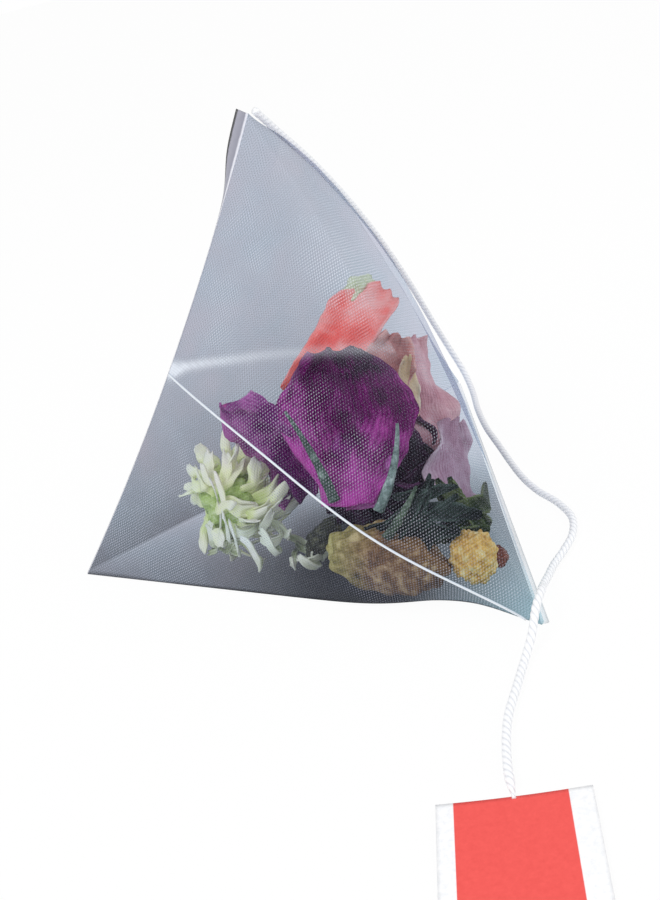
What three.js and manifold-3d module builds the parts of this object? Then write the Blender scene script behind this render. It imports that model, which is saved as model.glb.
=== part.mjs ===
// A pyramid tea bag of fine mesh with dried flowers inside, a cotton string and a paper tag.
// The bag is a short tube of mesh, closed by two seals at right angles, so that it stands as a
// tetrahedron: the first seal is its left edge, from the top corner down to the left corner, and
// the second is the right-hand edge of its base. Millimetres, +Z up, the base at z = 0.

import * as THREE from "three";
import Module from "manifold-3d";

const wasm = await Module();
wasm.setup();

// Bag
const EDGE = 70; // each of the six edges of the pyramid
const WALL = 0.4; // thickness of the mesh wall
const SEAL_WIDTH = 1.6; // welded strip along the two sealed edges
const BULGE = 4.2; // how far the edge at the back stands out at its middle
const CROWN = 2.4; // how far the middle of each loose face stands out
const DENT = 1.4; // how far the first seal is pulled in at its middle
const SEAM_OFFSET = 2.0; // the tube's long seam, down from the middle of the first seal
const SEAM_WIDTH = 0.8;
const SEAM_HEIGHT = 0.3; // above the wall
const GAP_SIZE = 2.2; // one side of a gap in the weave
const GAP_PITCH = 9.0; // from one gap to the next
const GAP_MARGIN = 3.2; // solid wall left beside an edge or the long seam
const CLEAR = 0.3; // room left between neighbours

// String and tag
const STRING_DIAMETER = 1.0;
const STRING_STEP = 2.5; // length of one straight piece of the string's tube
const TAG_WIDTH = 15;
const TAG_LENGTH = 21;
const TAG_THICKNESS = 0.5;
const TAG_CORNER = 0.8;
const TAG_TURN = -9; // degrees, seen from above

// Contents; their lengths and places are given as shares of the edge, and their thickness here
const PETAL_THICKNESS = 0.9;
const STEM_DIAMETER = 1.5;
const RIBBON_COUNT = 22; // ribbon petals of the pale flower head

// The string's route: down the back edge, along the second seal, round a loose bend, over the
// right corner and away to the tag. The points are for an edge of ROUTE_EDGE.
const ROUTE_EDGE = 70;
const ROUTE_POINTS = [
  [0.9, 1.6, 57.6],
  [3.1, 5.5, 53.4],
  [5.7, 9.9, 48.5],
  [8.1, 14.1, 43.3],
  [10.4, 18.0, 37.8],
  [12.5, 21.5, 32.2],
  [14.4, 24.9, 26.4],
  [16.2, 28.1, 20.4],
  [17.9, 31.0, 14.2],
  [19.7, 33.2, 8.2],
  [21.3, 32.4, 3.6],
  [21.8, 28.0, 1.9],
  [21.6, 20.0, 1.7],
  [21.9, 13.0, 1.7],
  [22.7, 7.5, 1.4],
  [23.6, 2.2, 0.7],
  [24.4, -2.4, 0.6],
  [25.6, -6.6, 0.6],
  [27.4, -10.7, 0.6],
  [28.3, -15.0, 0.6],
  [27.5, -18.8, 0.6],
  [25.8, -21.8, 0.6],
  [23.9, -24.6, 0.7],
  [22.6, -27.6, 1.3],
  [21.4, -30.6, 2.1],
  [20.9, -33.3, 3.5],
  [19.7, -36.0, 3.4],
  [18.4, -38.7, 1.8],
  [17.0, -41.0, 0.6],
  [15.2, -45.4, 0.6],
  [13.6, -49.4, 0.6],
  [12.7, -53.2, 0.6],
  [12.2, -57.0, 0.6],
  [12.1, -60.4, 0.6],
];
const stringRoute = ROUTE_POINTS.map((p) => new THREE.Vector3(...p).multiplyScalar(EDGE / ROUTE_EDGE));

// Corners of the pyramid's inner face, lifted by the wall so that the outside stands on z = 0
const BASE_REACH = EDGE / Math.sqrt(3);
const APEX_HEIGHT = EDGE * Math.sqrt(2 / 3);
const top = new THREE.Vector3(0, 0, APEX_HEIGHT + WALL);
const left = new THREE.Vector3(-BASE_REACH, 0, WALL);
const right = new THREE.Vector3(BASE_REACH / 2, -EDGE / 2, WALL);
const back = new THREE.Vector3(BASE_REACH / 2, EDGE / 2, WALL);
const sealAlong = left.clone().sub(top).normalize(); // down the first seal
const footAlong = back.clone().sub(right).normalize(); // along the second seal
const sealMiddle = top.clone().add(left).multiplyScalar(0.5);
const footMiddle = right.clone().add(back).multiplyScalar(0.5);
const tubeAxis = footMiddle.clone().sub(sealMiddle).normalize();
// A plane of the pyramid moves out by this share of what its section grows along an edge
const FACE_SHARE = Math.sqrt(2 / 3);

const SIDE_STEPS = 6; // pieces along each side of the tube's section
const TUBE_STEPS = 12; // pieces from one seal to the other

// A point of the tube's wall. across runs from 0 to 1 down the first seal, along runs from 0 to 1
// along the second, at least one of them being 0 or 1, and down runs from seal to seal.
function wallPoint(across, along, down, outset) {
  const grow = outset / FACE_SHARE;
  const high = (1 - down) * EDGE + 2 * grow;
  const wide = down * EDGE + 2 * grow;
  const centre = sealMiddle.clone().lerp(footMiddle, down);
  const point = centre.clone();
  point.addScaledVector(sealAlong, (across - 0.5) * high);
  point.addScaledVector(footAlong, (along - 0.5) * wide);
  const crown = across > 0 ? Math.sin(Math.PI * across) : Math.sin(Math.PI * along);
  const edge = (1 - across) * (0.5 + 0.5 * along);
  const onBase = across === 1;
  const swell = onBase ? 0 : 4 * down * (1 - down) * (BULGE * edge + CROWN * crown);
  const outward = point.clone().sub(centre);
  outward.z = Math.max(outward.z, 0);
  point.addScaledVector(outward.normalize(), swell);
  const pull = DENT * 4 * across * (1 - across) * (1 - down) ** 6;
  point.addScaledVector(tubeAxis, pull);
  return point;
}

// The corners of one ring round the tube, in order: front, right, rear and base face
function ringPlaces() {
  const places = [];
  for (let i = 0; i < SIDE_STEPS; i++) places.push([1 - i / SIDE_STEPS, 0]);
  for (let i = 0; i < SIDE_STEPS; i++) places.push([0, i / SIDE_STEPS]);
  for (let i = 0; i < SIDE_STEPS; i++) places.push([i / SIDE_STEPS, 1]);
  for (let i = 0; i < SIDE_STEPS; i++) places.push([1, 1 - i / SIDE_STEPS]);
  return places;
}

// One closed solid from vertices and triangles, with its faces turned out
function makeSolid(vertices, triangles) {
  let volume = 0;
  for (const [a, b, c] of triangles) {
    volume += vertices[a].dot(vertices[b].clone().cross(vertices[c]));
  }
  if (volume < 0) triangles.forEach((corners) => corners.reverse());
  const vertProperties = new Float32Array(vertices.flatMap((p) => [p.x, p.y, p.z]));
  const triVerts = new Uint32Array(triangles.flat());
  return new wasm.Manifold(new wasm.Mesh({ numProp: 3, vertProperties, triVerts }));
}

// A closed solid through rings of equally many points, its ends closed by fans
function loft(rings) {
  const count = rings[0].length;
  const vertices = rings.flat();
  const triangles = [];
  for (let r = 0; r + 1 < rings.length; r++) {
    for (let i = 0; i < count; i++) {
      const j = (i + 1) % count;
      const [a, b] = [r * count + i, r * count + j];
      const [c, d] = [a + count, b + count];
      triangles.push([a, b, d], [a, d, c]);
    }
  }
  const ends = [
    [rings[0], 0, true],
    [rings.at(-1), (rings.length - 1) * count, false],
  ];
  for (const [ring, first, turned] of ends) {
    const centre = ring.reduce((sum, p) => sum.add(p), new THREE.Vector3()).divideScalar(count);
    const hub = vertices.push(centre) - 1;
    for (let i = 0; i < count; i++) {
      const [a, b] = [first + i, first + ((i + 1) % count)];
      triangles.push(turned ? [hub, b, a] : [hub, a, b]);
    }
  }
  return makeSolid(vertices, triangles);
}

// The tube as a filled body, its wall moved out by outset, with the two welded strips if asked
function tubeBody(outset, withSeals) {
  const start = outset < 0 ? (-2 * outset) / FACE_SHARE / EDGE + 0.01 : 0;
  const places = ringPlaces();
  const ringAt = (down) => places.map(([across, along]) => wallPoint(across, along, down, outset));
  const rings = [];
  for (let r = 0; r <= TUBE_STEPS; r++) rings.push(ringAt(start + (1 - 2 * start) * (r / TUBE_STEPS)));
  if (withSeals) {
    const upOut = tubeAxis.clone().multiplyScalar(-SEAL_WIDTH);
    const footOut = new THREE.Vector3(SEAL_WIDTH, 0, 0);
    rings.unshift(rings[0].map((p) => p.clone().add(upOut)));
    rings.push(rings.at(-1).map((p) => p.clone().add(footOut)));
  }
  return loft(rings);
}

// Where the long seam crosses the front face at a place down the tube, as a share of the face
function seamAcross(down) {
  return Math.min(0.5 + SEAM_OFFSET / ((1 - down) * EDGE), 1);
}

// Outward direction of a face at one of its points, from two nearby points
function outwardAt(point, besideAcross, besideDown, centre) {
  const a = besideAcross.clone().sub(point);
  const b = besideDown.clone().sub(point);
  const normal = a.cross(b).normalize();
  return normal.dot(point.clone().sub(centre)) < 0 ? normal.negate() : normal;
}

// A box between eight corners, four on each side, given by its middle and three half axes
function boxAt(middle, halfA, halfB, halfC) {
  const corner = (a, b, c) =>
    middle.clone().addScaledVector(halfA, a).addScaledVector(halfB, b).addScaledVector(halfC, c);
  const low = [corner(-1, -1, -1), corner(1, -1, -1), corner(1, 1, -1), corner(-1, 1, -1)];
  const high = [corner(-1, -1, 1), corner(1, -1, 1), corner(1, 1, 1), corner(-1, 1, 1)];
  return loft([low, high]);
}

// The long seam as a low ridge on the front face, from the first seal to the right corner
function seamRidge() {
  const rings = [];
  const first = 0.01;
  const last = 0.98 - (2 * SEAM_OFFSET + SEAM_WIDTH) / EDGE;
  const [inside, outside] = [WALL / 2, WALL + SEAM_HEIGHT];
  for (let r = 0; r <= TUBE_STEPS; r++) {
    const down = first + (last - first) * (r / TUBE_STEPS);
    const half = SEAM_WIDTH / 2 / ((1 - down) * EDGE);
    const middle = seamAcross(down);
    const at = (side, outset) => wallPoint(middle + side * half, 0, down, outset);
    rings.push([at(-1, inside), at(1, inside), at(1, outside), at(-1, outside)]);
  }
  return loft(rings);
}

// Small boxes through the wall where the weave is open, in rows on the four faces
function weaveGaps() {
  const boxes = [];
  const faces = [
    { place: (k) => [k, 0], narrowsDown: true, hasSeam: true },
    { place: (k) => [0, k], narrowsDown: false, hasSeam: false },
    { place: (k) => [k, 1], narrowsDown: true, hasSeam: false },
    { place: (k) => [1, k], narrowsDown: false, hasSeam: false },
  ];
  const faceHeight = EDGE * Math.sqrt(3 / 4);
  const firstRow = GAP_PITCH / 2 + 1;
  for (const { place, narrowsDown, hasSeam } of faces) {
    for (let from = firstRow; from < faceHeight - GAP_MARGIN; from += GAP_PITCH) {
      const down = narrowsDown ? from / faceHeight : 1 - from / faceHeight;
      const run = (narrowsDown ? 1 - down : down) * EDGE;
      const count = Math.floor((run - 2 * GAP_MARGIN) / GAP_PITCH) + 1;
      if (run < 2 * GAP_MARGIN + GAP_SIZE) continue;
      for (let i = 0; i < count; i++) {
        const share = 0.5 + ((i - (count - 1) / 2) * GAP_PITCH) / run;
        if (hasSeam && Math.abs(share - seamAcross(down)) * run < GAP_MARGIN) continue;
        boxes.push(gapBox(place, share, down, run));
      }
    }
  }
  return boxes;
}

// One such box: its middle on the wall, its sides along the face and through it
function gapBox(place, share, down, run) {
  const step = 0.5; // to the nearby points that give the face's direction
  const at = (k, d) => wallPoint(...place(k), d, WALL / 2);
  const middle = at(share, down);
  const beside = at(share + step / run, down);
  const below = at(share, down + step / EDGE);
  const centre = sealMiddle.clone().lerp(footMiddle, down);
  const normal = outwardAt(middle, beside, below, centre);
  const halfA = beside.sub(middle).setLength(GAP_SIZE / 2);
  const halfB = normal.clone().cross(halfA).setLength(GAP_SIZE / 2);
  return boxAt(middle, halfA, halfB, normal.multiplyScalar(WALL * 2));
}

// A thin closed sheet from a grid of places, for petals, leaves and ribbons. middle(u, v) gives
// its middle surface for u from -1 to 1 and v from 0 to 1, and thickness is along local z.
function sheet(stepsU, stepsV, middle, thickness) {
  const vertices = [];
  const triangles = [];
  for (const side of [1, -1]) {
    for (let j = 0; j <= stepsV; j++) {
      for (let i = 0; i <= stepsU; i++) {
        const p = middle((2 * i) / stepsU - 1, j / stepsV);
        p.z += (side * thickness) / 2;
        vertices.push(p);
      }
    }
  }
  const row = stepsU + 1;
  const under = row * (stepsV + 1);
  for (let j = 0; j < stepsV; j++) {
    for (let i = 0; i < stepsU; i++) {
      const a = j * row + i;
      const [b, c, d] = [a + 1, a + row + 1, a + row];
      triangles.push([a, b, c], [a, c, d]);
      triangles.push([under + a, under + c, under + b], [under + a, under + d, under + c]);
    }
  }
  const rim = [];
  for (let i = 0; i < stepsU; i++) rim.push(i);
  for (let j = 0; j < stepsV; j++) rim.push(j * row + stepsU);
  for (let i = stepsU; i > 0; i--) rim.push(stepsV * row + i);
  for (let j = stepsV; j > 0; j--) rim.push(j * row);
  rim.forEach((a, k) => {
    const b = rim[(k + 1) % rim.length];
    triangles.push([a, under + a, under + b], [a, under + b, b]);
  });
  return makeSolid(vertices, triangles);
}

// Places a solid that was made round the origin: its length along lengthways, its face to facing
function placed(solid, middle, lengthways, facing) {
  const y = new THREE.Vector3(...lengthways).normalize();
  const z = new THREE.Vector3(...facing);
  z.addScaledVector(y, -z.dot(y)).normalize();
  const x = y.clone().cross(z);
  const matrix = new THREE.Matrix4().makeBasis(x, y, z).setPosition(middle);
  return solid.transform(matrix.elements);
}

// A place in the bag, given in shares of its edge so that it moves with the bag's size
function inBag(x, y, z) {
  return new THREE.Vector3(x * EDGE, y * EDGE, z * EDGE + WALL);
}

// A petal or leaf, from its length and width as shares of the edge. cup lifts its sides by a
// share of its width, curl lifts its ends by a share of its length, and point sharpens its tip.
function petal({ at, lengthways, facing, size, cup = 0, curl = 0, point = 0.55, ruffle = 0 }) {
  return (grow) => {
    const [length, width] = size.map((share) => share * EDGE);
    const form = (u, v) => {
      const half = (width / 2) * Math.sin(Math.PI * (0.06 + 0.88 * v)) ** point;
      const x = u * (half + grow);
      const y = (v - 0.5) * (length + 2 * grow);
      const sides = cup * width * ((2 * x) / width) ** 2;
      const ends = curl * length * ((2 * y) / length) ** 2;
      const waves = ruffle * width * Math.sin((10 * x) / width + (7 * y) / length);
      return new THREE.Vector3(x, y, sides + ends + waves);
    };
    const thickness = PETAL_THICKNESS + 3 * grow;
    return placed(sheet(6, 7, form, thickness), inBag(...at), lengthways, facing);
  };
}

// A lumpy closed body round the origin, from a sphere whose radius rises and falls. Its size is
// its width, length and height as shares of the edge.
function lumpBody(size, lumps, depth, grow) {
  const [around, upward] = [14, 9];
  const [sx, sy, sz] = size.map((share) => (share * EDGE) / 2 + grow);
  const pointAt = (a, b) => {
    const swell = 1 + depth * Math.sin(lumps * a) * Math.sin(b * lumps * 0.7 + a);
    const ring = Math.sin(b) * swell;
    return new THREE.Vector3(sx * ring * Math.cos(a), sy * ring * Math.sin(a), sz * swell * Math.cos(b));
  };
  const rings = [];
  for (let j = 1; j < upward; j++) {
    const ring = [];
    for (let i = 0; i < around; i++) {
      ring.push(pointAt((2 * Math.PI * i) / around, (Math.PI * j) / upward));
    }
    rings.unshift(ring);
  }
  return loft(rings);
}

function lump({ at, lengthways, facing, size, lumps, depth }) {
  return (grow) => placed(lumpBody(size, lumps, depth, grow), inBag(...at), lengthways, facing);
}

// A stem: a thin round rod from its upper to its lower, thicker end, bent by a share of the edge
function stem({ from, to, bend }) {
  const [steps, sides] = [8, 8];
  const [thin, thick] = [0.7, 1.3]; // shares of the stem's diameter at its ends
  return (grow) => {
    const start = inBag(...from);
    const end = inBag(...to);
    const middle = start.clone().lerp(end, 0.5).addScaledVector(new THREE.Vector3(...bend), EDGE);
    const curve = new THREE.QuadraticBezierCurve3(start, middle, end);
    const frames = curve.computeFrenetFrames(steps, false);
    const rings = [];
    for (let j = 0; j <= steps; j++) {
      const centre = curve.getPointAt(j / steps);
      const radius = (STEM_DIAMETER / 2) * (thin + (thick - thin) * (j / steps)) + grow;
      const ring = [];
      for (let i = 0; i < sides; i++) {
        const angle = (2 * Math.PI * i) / sides;
        const spoke = frames.normals[j].clone().multiplyScalar(Math.cos(angle) * radius);
        spoke.addScaledVector(frames.binormals[j], Math.sin(angle) * radius);
        ring.push(centre.clone().add(spoke));
      }
      rings.push(ring);
    }
    return loft(rings);
  };
}

// The pale flower head: a core with ribbon petals all round it, spread by the golden angle. core
// is the core's radius and ribbon the length and width of a petal, as shares of the edge.
function flowerHead({ at, lengthways, facing, core, ribbon }) {
  return (grow) => {
    const [length, width] = ribbon.map((share) => share * EDGE);
    const curl = 0.26 * length;
    let head = lumpBody([2 * core, 2 * core, 1.6 * core], 3, 0.05, grow);
    const golden = Math.PI * (3 - Math.sqrt(5));
    for (let k = 0; k < RIBBON_COUNT; k++) {
      const rise = 1 - (1.55 * (k + 0.5)) / RIBBON_COUNT;
      const flat = Math.sqrt(1 - rise * rise);
      const out = new THREE.Vector3(flat * Math.cos(k * golden), flat * Math.sin(k * golden), rise);
      const form = (u, v) => {
        const half = (width / 2) * (1 - 0.45 * v) + grow;
        return new THREE.Vector3(u * half, v * (length + grow), curl * v * v);
      };
      const solid = sheet(1, 3, form, PETAL_THICKNESS + 2 * grow);
      const root = out.clone().multiplyScalar(core * EDGE * 0.72);
      const face = new THREE.Vector3(-out.y, out.x, 0.6).cross(out);
      head = head.add(placed(solid, root, out.toArray(), face.toArray()));
    }
    return placed(head, inBag(...at), lengthways, facing);
  };
}

// Pieces that the bag holds, the heavy ones first: each later one gives way to those before it.
// at is the middle of a piece, and the sizes are shares of the edge too.
const DRIED = { roughness: 0.85, metalness: 0 };
const contents = [
  {
    name: "rose_head",
    color: "#43123f",
    form: lump({
      at: [0.075, -0.075, 0.118],
      lengthways: [0.9, -0.4, 0.1],
      facing: [0, -0.3, 1],
      size: [0.245, 0.258, 0.233],
      lumps: 3,
      depth: 0.06,
    }),
  },
  {
    name: "dried_fruit",
    color: "#b58a4e",
    form: lump({
      at: [0.043, -0.293, 0.058],
      lengthways: [0.85, -0.5, -0.12],
      facing: [0, 0, 1],
      size: [0.13, 0.25, 0.104],
      lumps: 4,
      depth: 0.09,
    }),
  },
  {
    name: "pale_flower",
    color: "#d3dcae",
    form: flowerHead({
      at: [-0.2, -0.066, 0.122],
      lengthways: [0.3, 0.1, 1],
      facing: [-0.55, -0.8, 0.3],
      core: 0.074,
      ribbon: [0.089, 0.034],
    }),
  },
  {
    name: "yellow_bud",
    color: "#d0913a",
    form: lump({
      at: [0.213, -0.345, 0.05],
      lengthways: [0, 1, 0],
      facing: [0, 0, 1],
      size: [0.091, 0.091, 0.087],
      lumps: 3,
      depth: 0.08,
    }),
  },
  {
    name: "berry",
    color: "#8a3a24",
    form: lump({
      at: [0.252, -0.337, 0.033],
      lengthways: [0, 1, 0],
      facing: [0, 0, 1],
      size: [0.046, 0.046, 0.041],
      lumps: 2,
      depth: 0.04,
    }),
  },
  {
    name: "purple_petal",
    color: "#4b1150",
    form: petal({
      at: [0.05, -0.192, 0.26],
      lengthways: [0.12, 0.3, 0.93],
      facing: [-0.25, -0.9, 0.3],
      size: [0.32, 0.25],
      cup: -0.1,
      curl: 0.07,
      ruffle: 0.023,
    }),
  },
  {
    name: "violet_petal",
    color: "#7a1f78",
    form: petal({
      at: [-0.117, -0.112, 0.237],
      lengthways: [0.3, 0, -0.95],
      facing: [-0.62, -0.72, 0.2],
      size: [0.235, 0.13],
      cup: -0.13,
      curl: 0.08,
      ruffle: 0.03,
    }),
  },
  {
    name: "coral_petal",
    color: "#f06a5a",
    form: petal({
      at: [0.058, -0.028, 0.382],
      lengthways: [0.72, 0.42, 0.4],
      facing: [-0.3, -0.75, 0.55],
      size: [0.285, 0.107],
      cup: 0.15,
      curl: -0.055,
      ruffle: 0.05,
    }),
  },
  {
    name: "magenta_petal",
    color: "#8b1f74",
    form: petal({
      at: [0, -0.262, 0.165],
      lengthways: [0.3, 0.2, 0.9],
      facing: [-0.4, -0.85, 0.25],
      size: [0.157, 0.143],
      cup: -0.12,
      curl: 0.07,
    }),
  },
  {
    name: "mauve_petal",
    color: "#a0718c",
    form: petal({
      at: [0.19, -0.01, 0.215],
      lengthways: [-0.1, 0.35, 0.9],
      facing: [0.75, -0.6, 0.3],
      size: [0.243, 0.18],
      cup: -0.11,
      curl: 0.07,
      ruffle: 0.03,
    }),
  },
  {
    name: "pink_petal",
    color: "#b98a9c",
    form: petal({
      at: [0.225, -0.14, 0.11],
      lengthways: [0.05, 0.55, 0.8],
      facing: [0.85, -0.45, 0.3],
      size: [0.2, 0.143],
      cup: -0.12,
      curl: 0.057,
    }),
  },
  {
    name: "brown_petal",
    color: "#8f5f5a",
    form: petal({
      at: [0.135, -0.055, 0.318],
      lengthways: [0.5, 0.2, 0.8],
      facing: [0.1, -0.9, 0.4],
      size: [0.129, 0.1],
      cup: 0.14,
      curl: 0.09,
    }),
  },
  {
    name: "yellow_strip",
    color: "#dfd9a0",
    form: petal({
      at: [0.163, -0.032, 0.28],
      lengthways: [0.1, 0.15, 0.98],
      facing: [0.4, -0.85, 0.3],
      size: [0.114, 0.037],
      curl: 0.075,
    }),
  },
  {
    name: "white_curl",
    color: "#cfd0c8",
    form: petal({
      at: [-0.125, -0.165, 0.062],
      lengthways: [0.7, -0.45, -0.5],
      facing: [-0.45, -0.7, 0.55],
      size: [0.171, 0.086],
      cup: 0.27,
      curl: 0.15,
    }),
  },
  {
    name: "grey_curl",
    color: "#b9b8b2",
    form: petal({
      at: [-0.225, -0.15, 0.046],
      lengthways: [0.8, -0.4, -0.1],
      facing: [-0.2, -0.6, 0.75],
      size: [0.129, 0.064],
      cup: 0.27,
      curl: 0.13,
    }),
  },
  {
    name: "brown_calyx",
    color: "#4a2a22",
    form: lump({
      at: [-0.082, -0.215, 0.085],
      lengthways: [0.4, -0.2, 0.9],
      facing: [0.2, -0.9, 0.1],
      size: [0.066, 0.1, 0.063],
      lumps: 3,
      depth: 0.08,
    }),
  },
  {
    name: "dark_leaf",
    color: "#27433c",
    form: petal({
      at: [0.135, -0.318, 0.155],
      lengthways: [0.55, -0.2, 0.75],
      facing: [-0.2, -0.85, 0.4],
      size: [0.186, 0.091],
      curl: 0.062,
      point: 0.9,
    }),
  },
  {
    name: "green_leaf",
    color: "#3c5c40",
    form: petal({
      at: [0.205, -0.275, 0.13],
      lengthways: [-0.5, 0.1, 0.85],
      facing: [0.3, -0.85, 0.4],
      size: [0.157, 0.086],
      curl: -0.073,
      point: 0.9,
    }),
  },
  {
    name: "long_stem",
    color: "#5d6f50",
    form: stem({ from: [-0.055, -0.14, 0.33], to: [-0.012, -0.25, 0.17], bend: [0.014, -0.014, 0] }),
  },
  {
    name: "middle_stem",
    color: "#4e6350",
    form: stem({ from: [0.13, -0.235, 0.285], to: [0.062, -0.285, 0.15], bend: [0.02, -0.009, 0] }),
  },
  {
    name: "short_stem",
    color: "#4a5f46",
    form: stem({ from: [0.138, -0.318, 0.2], to: [0.066, -0.324, 0.115], bend: [0.011, 0.006, 0] }),
  },
  {
    name: "green_calyx",
    color: "#8fa05a",
    form: lump({
      at: [0.118, 0.07, 0.437],
      lengthways: [0, 1, 0],
      facing: [0, 0, 1],
      size: [0.063, 0.082, 0.057],
      lumps: 3,
      depth: 0.06,
    }),
  },
];

// A mesh from a solid, named and coloured
function addMesh(group, name, solid, color, finish) {
  const { vertProperties, triVerts, numProp } = solid.getMesh();
  const positions = new Float32Array((vertProperties.length / numProp) * 3);
  for (let i = 0; i * numProp < vertProperties.length; i++) {
    positions.set(vertProperties.subarray(i * numProp, i * numProp + 3), i * 3);
  }
  const geometry = new THREE.BufferGeometry();
  geometry.setAttribute("position", new THREE.BufferAttribute(positions, 3));
  geometry.setIndex([...triVerts]);
  const mesh = new THREE.Mesh(geometry, new THREE.MeshStandardMaterial({ color, ...finish }));
  mesh.name = name;
  group.add(mesh);
}

// Each piece keeps clear of the wall and of the pieces settled before it
function settleContents(group) {
  const room = tubeBody(-CLEAR, false);
  const settled = [];
  for (const { name, color, form } of contents) {
    let solid = form(0).intersect(room);
    for (const grown of settled) solid = solid.subtract(grown);
    const parts = solid.decompose().sort((a, b) => b.volume() - a.volume());
    settled.push(form(CLEAR));
    addMesh(group, name, parts[0], color, DRIED);
  }
}

// The string: an eight-sided tube along its route
function stringMesh() {
  const sides = 8;
  const curve = new THREE.CatmullRomCurve3(stringRoute, false, "centripetal");
  const section = new THREE.Shape();
  for (let i = 0; i < sides; i++) {
    const angle = (2 * Math.PI * i) / sides;
    const spot = [Math.cos(angle), Math.sin(angle)].map((k) => (k * STRING_DIAMETER) / 2);
    if (i === 0) section.moveTo(...spot);
    else section.lineTo(...spot);
  }
  const steps = Math.round(curve.getLength() / STRING_STEP);
  const geometry = new THREE.ExtrudeGeometry(section, { steps, extrudePath: curve });
  const material = new THREE.MeshStandardMaterial({ color: "#eef0f2", roughness: 0.9, metalness: 0 });
  const mesh = new THREE.Mesh(geometry, material);
  mesh.name = "string";
  return mesh;
}

// The tag lies flat, its top edge just past the string's end
function tagMesh() {
  const half = TAG_WIDTH / 2;
  const shape = new THREE.Shape();
  shape.moveTo(-half, 0);
  shape.lineTo(-half, -TAG_LENGTH + TAG_CORNER);
  shape.quadraticCurveTo(-half, -TAG_LENGTH, -half + TAG_CORNER, -TAG_LENGTH);
  shape.lineTo(half - TAG_CORNER, -TAG_LENGTH);
  shape.quadraticCurveTo(half, -TAG_LENGTH, half, -TAG_LENGTH + TAG_CORNER);
  shape.lineTo(half, 0);
  const settings = { depth: TAG_THICKNESS, bevelEnabled: false, curveSegments: 4 };
  const geometry = new THREE.ExtrudeGeometry(shape, settings);
  const material = new THREE.MeshStandardMaterial({ color: "#fc5c58", roughness: 0.7, metalness: 0 });
  const mesh = new THREE.Mesh(geometry, material);
  const end = stringRoute.at(-1);
  mesh.position.set(end.x, end.y - CLEAR - STRING_DIAMETER * 0.2, 0);
  mesh.rotation.z = THREE.MathUtils.degToRad(TAG_TURN);
  mesh.name = "tag";
  return mesh;
}

// The bag: the tube's shell with its welded strips and long seam, opened by the gaps in its weave
function bagSolid() {
  const shell = tubeBody(WALL, true).subtract(tubeBody(0, false));
  return shell.add(seamRidge()).subtract(wasm.Manifold.union(weaveGaps()));
}

const teaBag = new THREE.Group();
addMesh(teaBag, "mesh_bag", bagSolid(), "#c8cbd7", { roughness: 0.5, metalness: 0 });
teaBag.add(stringMesh());
teaBag.add(tagMesh());
settleContents(teaBag);

export default teaBag;
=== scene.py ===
"""A pyramid tea bag of fine nylon mesh with dried flowers inside, on a cotton string with a paper tag.

Every new surface is a numpy function of two parameters on a grid, or a profile carried along a path.
Lengths are written in millimetres and turned to metres where a mesh is made.
"""

import math

import bpy
import numpy as np
from mathutils import Matrix, Vector


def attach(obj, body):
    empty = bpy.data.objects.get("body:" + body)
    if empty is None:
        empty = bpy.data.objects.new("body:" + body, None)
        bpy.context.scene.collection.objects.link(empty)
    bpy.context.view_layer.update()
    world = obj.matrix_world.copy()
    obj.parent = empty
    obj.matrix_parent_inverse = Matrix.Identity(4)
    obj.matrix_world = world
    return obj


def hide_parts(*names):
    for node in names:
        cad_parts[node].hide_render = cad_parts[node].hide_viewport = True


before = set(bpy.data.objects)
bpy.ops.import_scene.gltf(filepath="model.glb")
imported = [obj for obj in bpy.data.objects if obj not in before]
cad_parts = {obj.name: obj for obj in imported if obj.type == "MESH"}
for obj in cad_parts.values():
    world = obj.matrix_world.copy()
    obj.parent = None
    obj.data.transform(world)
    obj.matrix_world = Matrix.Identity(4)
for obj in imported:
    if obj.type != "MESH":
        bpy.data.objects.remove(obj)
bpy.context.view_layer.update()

MM = 0.001
BODY = "root"


def add_object(name, data):
    """A new object in the scene, at the origin."""
    thing = bpy.data.objects.new(name, data)
    bpy.context.scene.collection.objects.link(thing)
    return thing


# Camera and light

SENSOR_HEIGHT = 36.0
FOCAL_LENGTH = 44.0  # the photograph's own perspective
CAMERA_AZIMUTH = math.radians(-4.92)
CAMERA_ELEVATION = math.radians(26.19)
CAMERA_ROLL = math.radians(-15.44)
CAMERA_DISTANCE = 159.2
CAMERA_SHIFT = (-3.68, 9.06)  # along the picture's right and up


def camera_axes():
    """Right, up and back of the camera: a turn about Z, a tilt, then a roll about the line of sight."""
    az, el, roll = CAMERA_AZIMUTH, CAMERA_ELEVATION, CAMERA_ROLL
    back = np.array([-math.sin(az) * math.cos(el), -math.cos(az) * math.cos(el), math.sin(el)])
    right = np.array([math.cos(az), -math.sin(az), 0.0])
    up = np.cross(back, right)
    turned_right = math.cos(roll) * right + math.sin(roll) * up
    turned_up = math.cos(roll) * up - math.sin(roll) * right
    return turned_right, turned_up, back


def add_camera():
    """A camera at the photograph's viewing angle, placed by its distance from the middle of the base."""
    right, up, back = camera_axes()
    place = back * CAMERA_DISTANCE + right * CAMERA_SHIFT[0] + up * CAMERA_SHIFT[1]
    data = bpy.data.cameras.new("camera")
    data.lens = FOCAL_LENGTH
    data.sensor_width = SENSOR_HEIGHT
    data.clip_start = 0.005
    camera = add_object("camera", data)
    turn = Matrix((right, up, back)).transposed().to_4x4()
    camera.matrix_world = Matrix.Translation(Vector(place * MM)) @ turn
    bpy.context.scene.camera = camera
    bpy.context.scene.view_settings.view_transform = "Standard"


def add_lamp(name, place, size, power):
    """A square area lamp that faces the middle of the bag."""
    data = bpy.data.lights.new(name, "AREA")
    data.size = size * MM
    data.energy = power
    lamp = add_object(name, data)
    place = Vector(place) * MM
    aim = Vector((0, -5, 18)) * MM - place
    lamp.matrix_world = Matrix.Translation(place) @ aim.to_track_quat("-Z", "Y").to_matrix().to_4x4()


# Materials


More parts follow.
